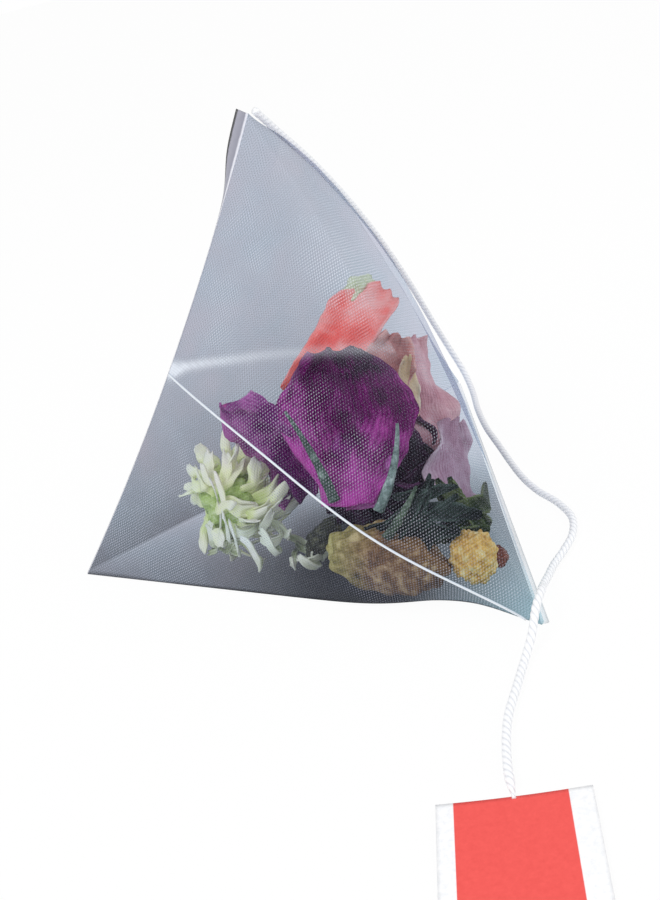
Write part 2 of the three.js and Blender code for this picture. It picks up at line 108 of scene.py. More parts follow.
def colour(code):
    """A hex sRGB colour as linear red, green, blue and alpha."""
    parts = [int(code[k : k + 2], 16) / 255 for k in (1, 3, 5)]
    linear = [c / 12.92 if c <= 0.04045 else ((c + 0.055) / 1.055) ** 2.4 for c in parts]
    return (*linear, 1.0)


def add_node(tree, kind, settings=None, **sockets):
    """A shader node with its properties set and its sockets set or linked, nN being input number N."""
    node = tree.nodes.new("ShaderNode" + kind)
    for key, value in (settings or {}).items():
        setattr(node, key, value)
    for key, value in sockets.items():
        numbered = key[0] == "n" and key[1:].isdigit()
        socket = node.inputs[int(key[1:])] if numbered else node.inputs[key.replace("_", " ")]
        if isinstance(value, bpy.types.NodeSocket):
            tree.links.new(value, socket)
        else:
            socket.default_value = value
    return node


def empty_tree(owner):
    """The node tree of a material or a world, with nothing in it."""
    owner.use_nodes = True
    owner.node_tree.nodes.clear()
    return owner.node_tree


def new_material(name, **finish):
    """A material of one Principled shader with its finish's values; returns material, tree and shader."""
    material = bpy.data.materials.new(name)
    tree = empty_tree(material)
    shader = add_node(tree, "BsdfPrincipled", **finish)
    add_node(tree, "OutputMaterial", Surface=shader.outputs["BSDF"])
    return material, tree, shader


def ramp(tree, factor, stops):
    """A colour ramp through (place, hex colour) stops."""
    node = add_node(tree, "ValToRGB", Fac=factor)
    elements = node.color_ramp.elements
    while len(elements) < len(stops):
        elements.new(0.5)
    for element, (place, code) in zip(elements, stops):
        element.position = place
        element.color = colour(code)
    return node.outputs["Color"]


def mixed(tree, factor, first, second):
    """Two colours, each a socket or a hex code, mixed by a factor."""
    first, second = (colour(k) if isinstance(k, str) else k for k in (first, second))
    node = add_node(tree, "Mix", {"data_type": "RGBA"}, Factor=factor, n6=first, n7=second)
    return node.outputs[2]


def maths(tree, operation, *values, clamp=False):
    """One Math node on values or sockets."""
    settings = {"operation": operation, "use_clamp": clamp}
    sockets = {f"n{k}": value for k, value in enumerate(values)}
    return add_node(tree, "Math", settings, **sockets).outputs[0]


def weighted(tree, start, *terms):
    """start plus the sum of socket x weight, kept within 0 and 1."""
    total = start
    for k, (socket, weight) in enumerate(terms):
        total = maths(tree, "MULTIPLY_ADD", socket, weight, total, clamp=k == len(terms) - 1)
    return total


def noise(tree, coordinates, scale_mm, detail=4.0, roughness=0.55):
    """Noise whose largest lumps are about scale_mm across on coordinates in metres."""
    sockets = {"Scale": 1 / (scale_mm * MM), "Detail": detail, "Roughness": roughness}
    return add_node(tree, "TexNoise", Vector=coordinates, **sockets).outputs["Fac"]


def object_place(tree):
    """The place on the object itself, in metres."""
    return add_node(tree, "TexCoord").outputs["Object"]


def map_place(tree):
    """The piece's own map: in metres along cloth and string, in millimetres on the tag, else 0 to 1."""
    place = add_node(tree, "UVMap", {"uv_map": "surface"}).outputs["UV"]
    parts = add_node(tree, "SeparateXYZ", Vector=place)
    return parts.outputs["X"], parts.outputs["Y"]


def add_bump(tree, shader, height, strength, distance_mm):
    """Relief from a height socket, distance_mm deep at strength 1."""
    bump = add_node(tree, "Bump", Height=height, Strength=strength, Distance=distance_mm * MM)
    tree.links.new(bump.outputs["Normal"], shader.inputs["Normal"])


# Shapes


def direction(v):
    """A vector divided by its length."""
    v = np.asarray(v, float)
    return v / np.linalg.norm(v)


def full_turn(count):
    """count angles spread evenly over a full turn."""
    return np.linspace(0, 2 * math.pi, count, endpoint=False)


def units(v):
    """Each row of an array as a unit vector."""
    return v / np.maximum(np.linalg.norm(v, axis=-1, keepdims=True), 1e-9)


def frame_of(lengthways, facing):
    """Three axes: x across, y lengthways, z facing, squared up."""
    y = direction(lengthways)
    z = np.asarray(facing, float)
    z = direction(z - y * z.dot(y))
    return np.stack([np.cross(y, z), y, z])


def grid_faces(rows, columns, closed=False):
    """Quads between neighbouring points of a rows by columns grid, whose columns may close round."""
    i, j = np.meshgrid(np.arange(rows - 1), np.arange(columns if closed else columns - 1), indexing="ij")
    corner, beside = i * columns + j, i * columns + (j + 1) % columns
    return np.stack([corner, beside, beside + columns, corner + columns], -1).reshape(-1, 4)


def closed_rings(rings, maps):
    """Rings of points, one for each step along a body, with both ends shut by a fan."""
    rows, count = rings.shape[:2]
    points = np.concatenate([rings.reshape(-1, 3), rings[:1].mean(1), rings[-1:].mean(1)])
    maps = np.concatenate([maps.reshape(-1, 2), maps[0, :1], maps[-1, :1]])
    k = np.arange(count)
    after, start = (k + 1) % count, (rows - 1) * count
    middle = np.full(count, rows * count)
    fans = np.stack([middle, after, k], -1), np.stack([middle + 1, start + k, start + after], -1)
    return points, grid_faces(rows, count, closed=True).tolist() + np.concatenate(fans).tolist(), maps


def closed_slab(surface, thickness, maps):
    """A sheet of some thickness about a grid of points, joined round its rim."""
    slope = units(np.cross(np.gradient(surface, axis=1), np.gradient(surface, axis=0)))
    upper, lower = surface + slope * thickness / 2, surface - slope * thickness / 2
    rows, columns = surface.shape[:2]
    count = rows * columns
    index = np.arange(count).reshape(rows, columns)
    rim = np.concatenate([index[0, :-1], index[:-1, -1], index[-1, :0:-1], index[:0:-1, 0]])
    after = np.roll(rim, -1)
    top = grid_faces(rows, columns)
    side = np.stack([rim, after, after + count, rim + count], -1)
    faces = np.concatenate([top[:, ::-1], top + count, side])
    points = np.concatenate([upper.reshape(-1, 3), lower.reshape(-1, 3)])
    return points, faces.tolist(), np.concatenate([maps.reshape(-1, 2)] * 2)


def merged(parts):
    """Several (points, faces, maps) as one."""
    starts = np.concatenate([[0], np.cumsum([len(points) for points, _, _ in parts])])
    faces = [[k + int(start) for k in face] for (_, part, _), start in zip(parts, starts) for face in part]
    return np.concatenate([p for p, _, _ in parts]), faces, np.concatenate([m for _, _, m in parts])


def make_piece(name, node, shape, material, corner_maps=False):
    """A smooth piece of the body from points in millimetres, faces and a map of each point or corner."""
    points, faces, maps = shape
    mesh = bpy.data.meshes.new(name)
    mesh.from_pydata((np.asarray(points).reshape(-1, 3) * MM).tolist(), [], faces)
    mesh.polygons.foreach_set("use_smooth", np.ones(len(mesh.polygons), bool))
    if not corner_maps:
        corners = np.empty(len(mesh.loops), np.int32)
        mesh.loops.foreach_get("vertex_index", corners)
        maps = np.asarray(maps)[corners]
    mesh.uv_layers.new(name="surface").data.foreach_set("uv", np.asarray(maps, float).ravel())
    mesh.materials.append(material)
    mesh.update()
    piece = add_object(name, mesh)
    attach(piece, BODY)
    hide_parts(node)
    return piece


def crinkle(x, y, seed, size, amount):
    """Creases: the mean of folded sine waves in six random directions, size apart, amount high."""
    rng = np.random.default_rng(seed)
    total = np.zeros_like(x)
    waves = zip(rng.uniform(0, 3.1, 6), rng.uniform(0, 6.3, 6), rng.uniform(0.7, 1.6, 6))
    for angle, phase, stretch in waves:
        wave = np.sin((x * math.cos(angle) + y * math.sin(angle)) * 2 * math.pi / (size * stretch) + phase)
        total += 1 - np.abs(wave) * 2
    return amount * total / 6


# The bag: the solid one's wall, as a surface of place down the tube and place round it

EDGE = 70.0
WALL = 0.4
SEAL_WIDTH = 1.6  # of the first seal, beyond the edge
FOOT_SEAL_WIDTH = 0.9
SEAL_THICKNESS = 0.16
BULGE = 4.2
CROWN = 2.4
DENT = 1.4
SEAM_OFFSET = 0.6
SEAM_SAG = 1.3  # how much further down the long seam runs at its middle
LIFT = 2.6  # of the base's front edge beside the right corner
REACH = EDGE / math.sqrt(3)
FACE_HEIGHT = EDGE * math.sqrt(3) / 2
TOP = np.array([0, 0, EDGE * math.sqrt(2 / 3) + WALL])
LEFT = np.array([-REACH, 0, WALL])
RIGHT = np.array([REACH / 2, -EDGE / 2, WALL])
BACK = np.array([REACH / 2, EDGE / 2, WALL])
SEAL_MIDDLE = (TOP + LEFT) / 2
FOOT_MIDDLE = (RIGHT + BACK) / 2
SEAL_ALONG = direction(LEFT - TOP)
FOOT_ALONG = direction(BACK - RIGHT)
TUBE_AXIS = direction(FOOT_MIDDLE - SEAL_MIDDLE)
FACE_SHARE = math.sqrt(2 / 3)  # of a push square to a panel, along the tube's section
SLANT = 0.866  # height of a panel for each unit of its edge
WARP_PITCH = 0.31  # of the threads that run down the tube, near the real one
WEFT_PITCH = 0.22  # of the threads that run round it


def swelling(across, along, down):
    """How far the wall swells outwards: 4 down (1 - down) (BULGE edge + CROWN sin), and 0 on the base."""
    crown = np.where(across > 1e-3, np.sin(math.pi * across), np.sin(math.pi * along))
    edge = (1 - across) * (0.5 + 0.5 * along)
    return np.where(across > 0.999, 0, 4 * down * (1 - down) * (BULGE * edge + CROWN * crown))


def wall(across, along, down, outset):
    """The wall: a rectangle EDGE (1 - down) by EDGE down about the tube's axis, grown by outset, swollen
    outwards, pulled in along the first seal, and with the base's front edge lifted by a Gaussian of down
    beside the right corner."""
    across, along, down = (np.asarray(k, float) for k in np.broadcast_arrays(across, along, down))
    grow = outset / FACE_SHARE
    centre = SEAL_MIDDLE + (FOOT_MIDDLE - SEAL_MIDDLE) * down[..., None]
    high = (1 - down) * EDGE + 2 * grow
    wide = down * EDGE + 2 * grow
    point = centre + SEAL_ALONG * ((across - 0.5) * high)[..., None]
    point = point + FOOT_ALONG * ((along - 0.5) * wide)[..., None]
    swell = outward_from(centre, point) * swelling(across, along, down)[..., None]
    pull = DENT * 4 * across * (1 - across) * (1 - down) ** 6
    point = point + swell + TUBE_AXIS * pull[..., None]
    front = np.where(along == 0, np.clip((across - 0.55) / 0.45, 0, 1), 0)
    near_edge = np.where(across == 1, np.exp(-along / 0.04), front)
    point[..., 2] += LIFT * (1 - down**14) * np.exp(-(((down - 0.88) / 0.14) ** 2)) * near_edge
    return point


def outward_from(centre, point):
    """The direction from the tube's axis to a point of its wall, level or upwards."""
    outward = point - centre
    outward[..., 2] = np.maximum(outward[..., 2], 0)
    return units(outward)


def seam_across(down):
    """Where the long seam runs on the front panel: SEAM_OFFSET below its middle, plus a Gaussian sag."""
    offset = SEAM_OFFSET + SEAM_SAG * np.exp(-(((down - 0.6) / 0.25) ** 2))
    return np.minimum(0.5 + offset / ((1 - down) * EDGE), 1)


def keep_inside(points, gap):
    """Brings points beyond the wall back to gap within it, straight towards the tube's axis: to a distance
    of r / m plus the swelling, m being how many half-widths out a point lies."""
    span = EDGE / math.sqrt(2)
    down = np.clip((points - SEAL_MIDDLE) @ TUBE_AXIS / span, 0.04, 0.97)
    rest = points - SEAL_MIDDLE - TUBE_AXIS * (down * span)[..., None]
    a, b = rest @ SEAL_ALONG, rest @ FOOT_ALONG
    share_a, share_b = a / ((1 - down) * EDGE / 2), b / (down * EDGE / 2)
    r = np.maximum(np.hypot(a, b), 1e-6)
    m = np.maximum(np.maximum(np.abs(share_a), np.abs(share_b)), 1e-6)
    across, along = 0.5 + share_a / m / 2, 0.5 + share_b / m / 2
    swell = swelling(across, along, down) * np.where(a > 0, 0.8, 1)
    slant = np.where(np.abs(share_a) > np.abs(share_b), np.abs(a), np.abs(b)) / r * FACE_SHARE
    limit = r / m + swell - gap / np.maximum(slant, 0.3)
    held = np.minimum(r, np.maximum(limit, 0.5))
    return points + (SEAL_ALONG * a[..., None] + FOOT_ALONG * b[..., None]) * (held / r - 1)[..., None]


CLOTH_STEPS = 88  # pieces along each side of the tube's section
CLOTH_ROWS = 140


def cloth_grid():
    """The mesh tube on a grid of down by round, and each point's distance round and down the flat cloth,
    with one column more because the tube closes there."""
    k = np.arange(CLOTH_STEPS) / CLOTH_STEPS
    one, zero = np.ones(CLOTH_STEPS), np.zeros(CLOTH_STEPS)
    across = np.concatenate([1 - k, zero, k, one])
    along = np.concatenate([zero, k, one, 1 - k])
    down = np.linspace(0, 1, CLOTH_ROWS)[:, None]
    points = wall(across[None], along[None], down, WALL / 2)
    high, wide = (1 - down) * EDGE, down * EDGE
    sides = [k * high, high + k * wide, high + wide + k * high]
    sides += [2 * high + wide + k * wide, 2 * high + 2 * wide]
    round_tube = np.concatenate(sides, 1) - high / 2
    down_tube = np.broadcast_to(down * FACE_HEIGHT, round_tube.shape)
    return points, across, along, down, round_tube, down_tube


def folds(round_tube, down_tube, across):
    """Height of the small folds: waves along each seal that fade over 9 mm, creases that fan out from the
    left corner and the first seal's middle, and soft dents. The base stays flat."""
    from_foot = FACE_HEIGHT - down_tube
    height = 0.3 * np.sin(round_tube * 0.86) * np.exp(-down_tube / 9)
    height += 0.25 * np.sin(round_tube * 1.03 + 1) * np.exp(-from_foot / 9)
    corner = np.hypot(down_tube, round_tube + 35)
    height += 0.3 * np.sin(np.arctan2(down_tube, np.abs(round_tube + 35) + 0.5) * 15) * np.exp(-corner / 16)
    crease = (round_tube - 0.6 * down_tube) / 1.2
    height += 0.5 * np.exp(-((crease / 1.6) ** 2)) * np.exp(-down_tube / 13) * (round_tube > -2)
    height += crinkle(round_tube, down_tube, 4, 26, 0.5) + crinkle(round_tube, down_tube, 8, 9, 0.08)
    return height * (across < 1) * (1 - np.exp(-down_tube / 3)) * (1 - np.exp(-from_foot / 3))


def cloth_marks(points, across, along, down, round_tube, down_tube):
    """Marks from 0 to 1 on each point, sums of Gaussians and soft steps. shade: painted shade that makes the
    cloth darker and denser on the base and rear, below the long seam and near the table. glow: painted
    highlight that makes it paler along the crease and the upper right edge, and at the first seal's middle,
    where the thicker welds also whiten it. teal: its cool colour at the right corner."""
    z = points[..., 2]
    front = (along == 0) & (across > 0)
    below = 1 / (1 + np.exp((round_tube + 0.6) / 0.4)) * front
    rear = (along == 1) & (across < 1)
    middle = np.exp(-(((points[..., 0] - 4) / 17) ** 2))
    near = 1 / (1 + np.exp((points[..., 0] - 9) / 3))
    # painted shade: darker, denser cloth on the rear, the base and below the long seam, less near the right
    # corner
    rear_shade = 0.06 + near * (0.22 + 0.45 * np.exp(-z / 16))
    base_shade = 0.04 + 0.22 * near + (0.42 + 0.5 * middle) / (1 + np.exp((points[..., 1] - 4) / 4))
    shade = 0.09 * below + 0.1 * below * np.exp(-z / 6) + rear * rear_shade
    shade += (across == 1) * base_shade + 0.06 * (across == 0) * (along > 0)
    shade += front * 0.65 * middle * np.exp(-z / 4)
    # painted highlight: paler cloth along the crease, at the first seal's middle and at the upper right edge
    crease = (round_tube - 0.6 * down_tube) / 1.2
    glow = 1.1 * np.exp(-((crease / 0.75) ** 2)) * np.exp(-down_tube / 26) * (round_tube > -1) * front
    glow += 0.9 * np.exp(-((round_tube / 1.6) ** 2) - (down_tube / 1.6) ** 2)
    from_edge = round_tube - (EDGE - down_tube / SLANT) / 2
    band = np.exp(-((from_edge / 6) ** 2)) / (1 + np.exp((down - 0.5) / 0.07))
    glow += 0.3 * band * (down > 0.1)
    teal = np.exp(-np.linalg.norm(points - RIGHT, axis=-1) / 14)
    return {"shade": np.clip(shade * (1 - 0.6 * teal), 0, 1), "glow": np.clip(glow, 0, 1), "teal": teal}


def woven_nylon():
    """Woven nylon monofilament: clear satin threads with open holes, dimming what lies behind. Crossings
    with the warp on top carry painted highlights as fine pale dots, at the peaks of
    cos(pi round / WARP_PITCH) cos(pi down / WEFT_PITCH), most in patches of painted sheen. Painted shade
    makes it greyer and denser on the base and the rear, and a painted highlight whitens it along its
    creases."""
    material, tree, shader = new_material("woven_nylon", Roughness=0.42, Specular_IOR_Level=0.3)
    round_tube, down_tube = map_place(tree)
    marks = {}
    for name in ("shade", "glow", "teal"):
        marks[name] = add_node(tree, "Attribute", {"attribute_name": name}).outputs["Fac"]
    warp = maths(tree, "COSINE", maths(tree, "MULTIPLY", round_tube, math.pi / (WARP_PITCH * MM)))
    weft = maths(tree, "COSINE", maths(tree, "MULTIPLY", down_tube, math.pi / (WEFT_PITCH * MM)))
    crossing = maths(tree, "MULTIPLY", warp, weft)
    # painted highlights: pale glinting dots where the warp lies on top
    dot = maths(tree, "POWER", maths(tree, "MAXIMUM", crossing, 0.0), 1.3)
    cloud = noise(tree, object_place(tree), 12, 3)
    # painted sheen: noise patches where the dots glint most, none where the painted shade lies
    settings = {"interpolation_type": "SMOOTHSTEP"}
    sheen = add_node(tree, "MapRange", settings, Value=cloud, n1=0.44, n2=0.64, n3=0.35, n4=1.0)
    plain = maths(tree, "SUBTRACT", 1.0, marks["shade"], clamp=True)
    glint = maths(tree, "MULTIPLY", maths(tree, "MULTIPLY", dot, sheen.outputs[0]), plain)
    # thread colour: pale at the painted glints, darkened by the painted shade and whitened by the painted
    # highlight
    thread = ramp(tree, glint, [(0.0, "#2a2c36"), (0.3, "#a6a9c0"), (0.9, "#f2f3ff")])
    thread = mixed(tree, marks["shade"], thread, "#2a2d33")
    thread = mixed(tree, marks["glow"], thread, "#f0f6ff")
    under = maths(tree, "MAXIMUM", maths(tree, "MULTIPLY", crossing, -1.0), 0.0)
    # the painted shade and painted highlight also make the cloth more solid
    solid = weighted(
        tree, 0.0, (glint, 0.33), (under, 0.17), (marks["shade"], 0.92), (marks["glow"], 0.45), (cloud, 0.1)
    )
    # Light spreads through the weave, so that what lies inside is lit nearly as if it lay in the open.
    path = add_node(tree, "LightPath")
    spread = maths(tree, "MAXIMUM", path.outputs["Is Shadow Ray"], path.outputs["Is Diffuse Ray"])
    solid = maths(tree, "MULTIPLY", solid, maths(tree, "MULTIPLY_ADD", spread, -0.75, 1.0))
    tree.links.new(thread, shader.inputs["Base Color"])
    add_bump(tree, shader, crossing, 0.2, 0.05)
    clear = ramp(tree, cloud, [(0.35, "#f1f1f9"), (0.65, "#ecf4fc")])
    clear = mixed(tree, marks["teal"], clear, "#ddf4fa")
    holes = add_node(tree, "BsdfTransparent", Color=clear)
    both = add_node(tree, "MixShader", Fac=solid, n1=holes.outputs[0], n2=shader.outputs[0])
    tree.links.new(both.outputs[0], tree.nodes["Material Output"].inputs["Surface"])
    return material


def build_cloth():
    """The cloth: the wall moved outwards by its folds, with its flat place as its map."""
    points, across, along, down, round_tube, down_tube = cloth_grid()
    centre = SEAL_MIDDLE + (FOOT_MIDDLE - SEAL_MIDDLE) * down[..., None]
    open_round, open_down = round_tube[:, :-1], down_tube[:, :-1]
    points = points + outward_from(centre, points) * folds(open_round, open_down, across)[..., None]
    rows, columns = points.shape[:2]
    i, j = np.divmod(np.arange((rows - 1) * columns), columns)
    corners = np.stack([i, i, i + 1, i + 1], -1), np.stack([j, j + 1, j + 1, j], -1)
    maps = np.stack([round_tube[corners], down_tube[corners]], -1) * MM
    faces = grid_faces(rows, columns, closed=True).tolist()
    cloth = make_piece("mesh_cloth", "mesh_bag", (points, faces, maps), woven_nylon(), corner_maps=True)
    for name, values in cloth_marks(points, across, along, down, open_round, open_down).items():
        mark = cloth.data.attributes.new(name, "FLOAT", "POINT")
        mark.data.foreach_set("value", np.broadcast_to(values, points.shape[:2]).astype(np.float32).ravel())
    return cloth


def carried(path, side, normal, profile, maps):
    """Profiles of (side, normal) offsets, one for each point of a path or one for all, set along it."""
    rings = path[:, None] + profile[..., :1] * side[:, None] + profile[..., 1:] * normal[:, None]
    return closed_rings(rings, maps)


def strip_maps(rows, profile):
    """The map of a strip: along its length and across its width, both from 0 to 1."""
    x = profile[..., 0]
    share = (x - x.min()) / (x.max() - x.min())
    return np.stack(np.broadcast_arrays(np.linspace(0, 1, rows)[:, None], share), -1)


def oval(width, height, count=14):
    """count points round an ellipse, as width / 2 cos and height / 2 sin."""
    angle = full_turn(count)
    return np.stack([width / 2 * np.cos(angle), height / 2 * np.sin(angle)], -1)[None]


def welded_nylon(name, stops, solid):
    """Welded nylon: threads melted together into a nearly solid strip with a satin shine, darker where the
    cut has charred its edge."""
    material, tree, shader = new_material(name, Roughness=0.32, IOR=1.53, Alpha=solid)
    _, share = map_place(tree)
    spots = noise(tree, object_place(tree), 0.8, 2)
    tone = weighted(tree, -0.05, (share, 1.0), (spots, 0.1))
    tree.links.new(ramp(tree, tone, stops), shader.inputs["Base Color"])
    add_bump(tree, shader, spots, 0.4, 0.1)
    return material


def build_seals():
    """The long seam as an oval bead down the front panel, and the two cross seals as thin strips outside
    their edges. The first runs along the bag's left edge, square to the tube at the top and turned
    backwards below by a soft step. The second lies flat on the table along the right edge."""
    down = np.linspace(0.002, 0.97, 170)
    middle = seam_across(down)
    path = wall(middle, 0, down, WALL / 2 + 0.1)
    step = units(np.gradient(path, axis=0))
    normal = units(np.cross(step, wall(middle + 0.01, 0, down, WALL / 2 + 0.1) - path))
    bead = oval(0.33, 0.22)
    shape = carried(path, np.cross(normal, step), normal, bead, strip_maps(len(path), bead))
    bright = welded_nylon("welded_seam", [(0.0, "#cdd6e0"), (0.5, "#eef3f9"), (1.0, "#d9e1ea")], 0.88)
    make_piece("long_seam", "mesh_bag", shape, bright)

    share = np.linspace(0, 1, 140)
    path = wall(share, 0, 0, WALL / 2)
    turn = np.radians(8 + 84 / (1 + np.exp(-(share - 0.1) / 0.028)))[:, None]
    out = FOOT_ALONG * np.sin(turn) - TUBE_AXIS * np.cos(turn)
    facing = FOOT_ALONG * np.cos(turn) + TUBE_AXIS * np.sin(turn)
    strip = oval(SEAL_WIDTH, SEAL_THICKNESS, 28)
    shape = carried(path + out * 0.75, out, facing, strip, strip_maps(len(path), strip))
    stops = [(0.0, "#f2f3fa"), (0.14, "#e4e5f0"), (0.22, "#8f90a0")]
    stops += [(0.78, "#a3a3b2"), (0.86, "#24242c"), (1.0, "#17171d")]
    make_piece("upper_seal", "mesh_bag", shape, welded_nylon("welded_seal", stops, 0.72))

    path = np.linspace(RIGHT, BACK, 120)
    path += [0.3, 0, -0.22]
    strip = oval(FOOT_SEAL_WIDTH, SEAL_THICKNESS, 20) * np.linspace(1, 0.15, 120)[:, None, None]
    out, up = np.broadcast_to([1.0, 0, 0], path.shape), np.broadcast_to([0, 0, 1.0], path.shape)
    shape = carried(path, out, up, strip, strip_maps(len(path), strip[:1]))
    stops = [(0.0, "#f0f4f8"), (0.7, "#dbe3ea"), (0.95, "#a3aeb8")]
    make_piece("foot_seal", "mesh_bag", shape, welded_nylon("welded_foot", stops, 0.35))


# The string

STRING_DIAMETER = 1.0
STRING_TWIST = 2.6  # length of one turn of its strands
STRING_ROUTE = [
    (0.9, 1.6, 57.6), (3.1, 5.5, 53.4), (5.7, 9.9, 48.5), (8.1, 14.1, 43.3), (10.4, 18.0, 37.8),
    (12.5, 21.5, 32.2), (14.4, 24.9, 26.4), (16.2, 28.1, 20.4), (17.9, 31.0, 14.2), (19.7, 33.2, 8.2),
    (21.3, 32.4, 3.6), (21.8, 28.0, 1.9), (21.6, 20.0, 1.7), (21.9, 13.0, 1.7), (22.7, 7.5, 1.4),
    (23.6, 2.2, 0.7), (24.4, -2.4, 0.6), (25.6, -6.6, 0.6), (27.4, -10.7, 0.6), (28.3, -15.0, 0.6),
    (27.5, -18.8, 0.6), (25.8, -21.8, 0.6), (23.9, -24.6, 0.7), (22.6, -27.6, 1.3), (21.4, -30.6, 2.1),
    (20.9, -33.3, 3.5), (19.7, -36.0, 3.4), (18.4, -38.7, 1.8), (17.0, -41.0, 0.6), (15.2, -45.4, 0.6),
    (13.6, -49.4, 0.6), (12.7, -53.2, 0.6), (12.2, -57.0, 0.6), (12.1, -60.4, 0.6),
]


def smooth_path(route, per_span):
    """A centripetal Catmull-Rom curve through the route's points, per_span steps from one to the next."""
    p = np.asarray(route, float)
    p = np.concatenate([2 * p[:1] - p[1:2], p, 2 * p[-1:] - p[-2:-1]])
    knots = np.concatenate([[0], np.cumsum(np.linalg.norm(np.diff(p, axis=0), axis=1) ** 0.5)])
    a, b, c, d = (p[k : len(p) - 3 + k, None] for k in range(4))
    t0, t1, t2, t3 = (knots[k : len(p) - 3 + k, None, None] for k in range(4))
    t = t1 + (t2 - t1) * np.linspace(0, 1, per_span, endpoint=False)[None, :, None]
    ab = a * (t1 - t) / (t1 - t0) + b * (t - t0) / (t1 - t0)
    bc = b * (t2 - t) / (t2 - t1) + c * (t - t1) / (t2 - t1)
    cd = c * (t3 - t) / (t3 - t2) + d * (t - t2) / (t3 - t2)
    abc = ab * (t2 - t) / (t2 - t0) + bc * (t - t0) / (t2 - t0)
    bcd = bc * (t3 - t) / (t3 - t1) + cd * (t - t1) / (t3 - t1)
    curve = abc * (t2 - t) / (t2 - t1) + bcd * (t - t1) / (t2 - t1)
    return np.concatenate([curve.reshape(-1, 3), p[-2:-1]])


def spun_cotton():
    """Spun cotton: soft white fibres twisted into strands, quite matte, with painted shade making it a
    little grey in the grooves.
    """
    material, tree, shader = new_material("spun_cotton", Roughness=0.9, Sheen_Weight=0.3)
    _, rise = map_place(tree)
    fibres = noise(tree, object_place(tree), 0.25, 3)
    # painted shade: greyer in the grooves between the strands, where rise is low
    groove_shade = weighted(tree, 0.0, (rise, 0.8), (fibres, 0.3))
    stops = [(0.1, "#d0d2d8"), (0.45, "#e8eaee"), (0.8, "#f6f7f9")]
    tree.links.new(ramp(tree, groove_shade, stops), shader.inputs["Base Color"])
    add_bump(tree, shader, fibres, 0.5, 0.1)
    return material


def build_string():
    """The string: three strands, r = R (0.88 + 0.12 |cos 1.5 (angle - twist)|), carried along the route and
    thinned down over its last 2 mm to the tag."""
    path = smooth_path(STRING_ROUTE, 22)
    step = units(np.gradient(path, axis=0))
    side = units(np.cross(step, [0.3, 0.1, 0.9]))
    length = np.concatenate([[0], np.cumsum(np.linalg.norm(np.diff(path, axis=0), axis=1))])
    angle = full_turn(20)[None]
    rise = np.abs(np.cos(1.5 * (angle - length[:, None] * 2 * math.pi / STRING_TWIST)))
    thin = np.clip((length[-1] - length[:, None]) / 2, 0.3, 1) ** 0.7
    path[:, 2] -= STRING_DIAMETER / 2 * (1 - thin[:, 0])
    radius = STRING_DIAMETER / 2 * (0.88 + 0.12 * rise) * thin
    profile = np.stack([radius * np.cos(angle), radius * np.sin(angle)], -1)
    maps = np.stack([np.broadcast_to(length[:, None] * MM, rise.shape), rise], -1)
    shape = carried(path, side, np.cross(side, step), profile, maps)
    return make_piece("string_cotton", "string", shape, spun_cotton()), path, length[-1]


# The tag

TAG_WIDTH = 15.0
TAG_LENGTH = 21.0
TAG_THICKNESS = 0.3
TAG_TURN = math.radians(-6)
TAG_BORDER_LEFT = 1.7
TAG_BORDER_RIGHT = 2.3
TAG_GAP = -0.3  # from the string's end to the tag's top edge


def printed_paper():
    """Coated tag paper: a plain coral red print with white side borders, and short fibres that show in a low
    light. x is in millimetres from the tag's left edge."""
    material, tree, shader = new_material("printed_paper", Roughness=0.6)
    x, _ = map_place(tree)
    start, end, blur = TAG_BORDER_LEFT, TAG_WIDTH - TAG_BORDER_RIGHT, 0.04
    left = add_node(tree, "MapRange", Value=x, n1=start - blur, n2=start + blur)
    right = add_node(tree, "MapRange", Value=x, n1=end + blur, n2=end - blur)
    printed = maths(tree, "MULTIPLY", left.outputs[0], right.outputs[0])
    fibre = noise(tree, object_place(tree), 0.6, 5, 0.7)
    red = ramp(tree, fibre, [(0.3, "#e64e49"), (0.7, "#ee5751")])
    white = ramp(tree, fibre, [(0.3, "#e9ebee"), (0.7, "#fbfbfc")])
    tree.links.new(mixed(tree, printed, white, red), shader.inputs["Base Color"])
    add_bump(tree, shader, fibre, 0.3, 0.06)
    return material


def build_tag():
    """The tag: a thin slab, curled up by 0.2 (2u - 1)^2 (1 - v) + 0.1 v^2."""
    top = np.array([STRING_ROUTE[-1][0], STRING_ROUTE[-1][1] - TAG_GAP, TAG_THICKNESS / 2])
    right = np.array([math.cos(TAG_TURN), math.sin(TAG_TURN), 0])
    below = np.array([math.sin(TAG_TURN), -math.cos(TAG_TURN), 0])
    u, v = np.meshgrid(np.linspace(0, 1, 31), np.linspace(0, 1, 43))
    curl = 0.2 * (2 * u - 1) ** 2 * (1 - v) + 0.1 * v**2
    surface = top + right * ((u - 0.5) * TAG_WIDTH)[..., None] + below * (v * TAG_LENGTH)[..., None]
    surface[..., 2] += curl
    maps = np.stack([u * TAG_WIDTH, v * TAG_LENGTH], -1)
    shape = closed_slab(surface[:, ::-1], TAG_THICKNESS, maps[:, ::-1])
    return make_piece("tag_paper", "tag", shape, printed_paper())


# The dried contents: places and sizes are shares of the bag's edge, as in the solid model


def in_bag(at):
    """A place in millimetres from one in shares of the edge, counted from the middle of the base."""
    return np.asarray(at, float) * EDGE + [0, 0, WALL]


PETAL_THICKNESS = 0.3
RIBBON_THICKNESS = 0.22
HELD_GAP = 0.45  # from the bag's wall to the middle of a petal that it holds


